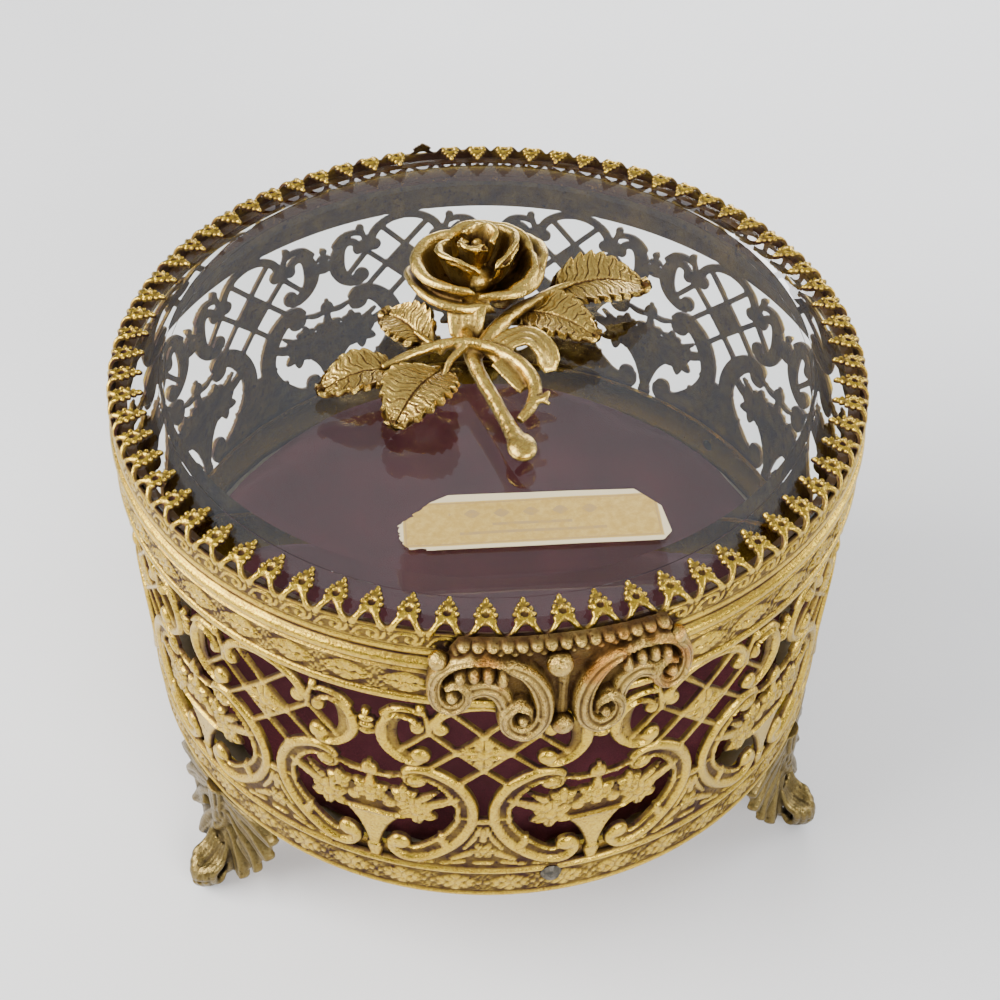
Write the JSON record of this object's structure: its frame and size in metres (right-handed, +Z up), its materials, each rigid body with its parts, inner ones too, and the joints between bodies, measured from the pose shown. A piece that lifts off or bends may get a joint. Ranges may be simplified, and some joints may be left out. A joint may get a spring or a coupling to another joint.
{
  "type": "trinket box",
  "caption": "Round footed filigree trinket box with a prong-set bevelled glass lid, cast rose and scrolled clasp, a velvet floor pad and a rear lid hinge.",
  "frame": {"origin": "centre of the bounding box in plan, on the surface the feet stand on", "axes": "+Z up through the lid; -Y towards the clasp at the front; +Y towards the hinge at the back; +X to the right seen from the front"},
  "size_m": [0.1252, 0.1359, 0.1071],
  "materials": {
    "antique_gold": "polished pale gold plate with brown patina in the recesses",
    "cast_gold": "cast and plated, worn grey on the high points",
    "dark_rivet": "dark, tarnished",
    "pin_steel": "drawn wire",
    "bevelled_glass": "clear polished, wide ground bevel with a faint green edge",
    "clear_cement": "clear hardened cement",
    "burgundy_velvet": "short pile velvet",
    "burgundy_felt": "flat felt",
    "grey_card": "plain board",
    "cream_label": "foil paper, printed border, no words"
  },
  "bodies": {
    "box_body": {"filigree_wall": "antique_gold", "top_border_band": "antique_gold", "base_pan": "antique_gold", "floor_board": "grey_card", "velvet_pad": "burgundy_velvet", "underside_felt": "burgundy_felt", "foot_left": "cast_gold", "foot_right": "cast_gold", "foot_back": "cast_gold", "foot_rivet_left": "antique_gold", "foot_rivet_right": "antique_gold", "foot_rivet_back": "antique_gold", "wall_rivet_front": "dark_rivet", "wall_rivet_left": "dark_rivet", "wall_rivet_right": "dark_rivet", "hinge_leaf_body": "antique_gold", "hinge_pin": "pin_steel"},
    "lid": {"prong_gallery": "antique_gold", "glass_seat_ring": "antique_gold", "bevelled_glass": "bevelled_glass", "clasp_ornament": "cast_gold", "rose_bloom": "cast_gold", "rose_spray": "cast_gold", "cement_under_rose": "clear_cement", "cement_under_leaf": "clear_cement", "paper_label": "cream_label", "hinge_leaf_lid": "antique_gold"}
  },
  "joints": [
    {"name": "lid_hinge", "type": "hinge", "parent": "box_body", "child": "lid", "pos_m": [0, 0.0648, 0.08515], "axis": [-1, 0, 0], "range_deg": [0, 105]}
  ]
}
